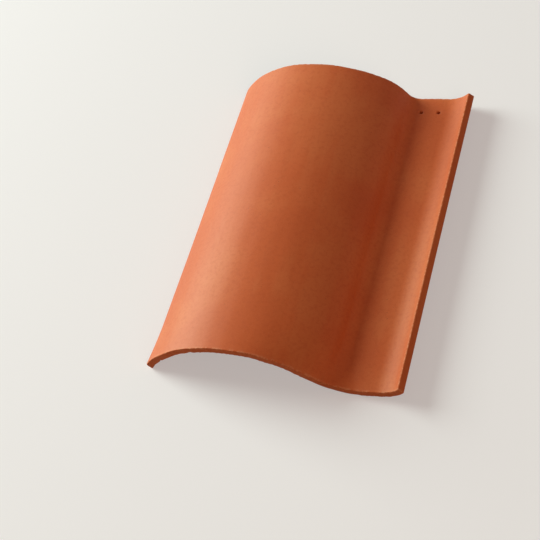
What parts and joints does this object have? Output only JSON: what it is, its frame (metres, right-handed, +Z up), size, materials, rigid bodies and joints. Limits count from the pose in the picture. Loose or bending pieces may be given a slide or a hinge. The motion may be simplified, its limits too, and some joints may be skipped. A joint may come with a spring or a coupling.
{
  "type": "clay roof tile",
  "caption": "Fired clay roof tile of S section, with an arched barrel, a flat pan that curls up into a lip, a crease that opens out at the nose, and nail holes near the head.",
  "frame": {"origin": "on the floor, under the middle of the tile as it lies at rest", "axes": "+Y runs up the tile from its nose to its head, +X runs across it from the barrel to the pan, +Z is up off the floor"},
  "size_m": [0.3295, 0.457, 0.07],
  "materials": {
    "fired_clay": "unglazed fired clay, matt to satin, fine grained, with a paler worn edge and a rougher cut nose"
  },
  "bodies": {
    "root": {"roof_tile": "fired_clay"}
  },
  "joints": []
}
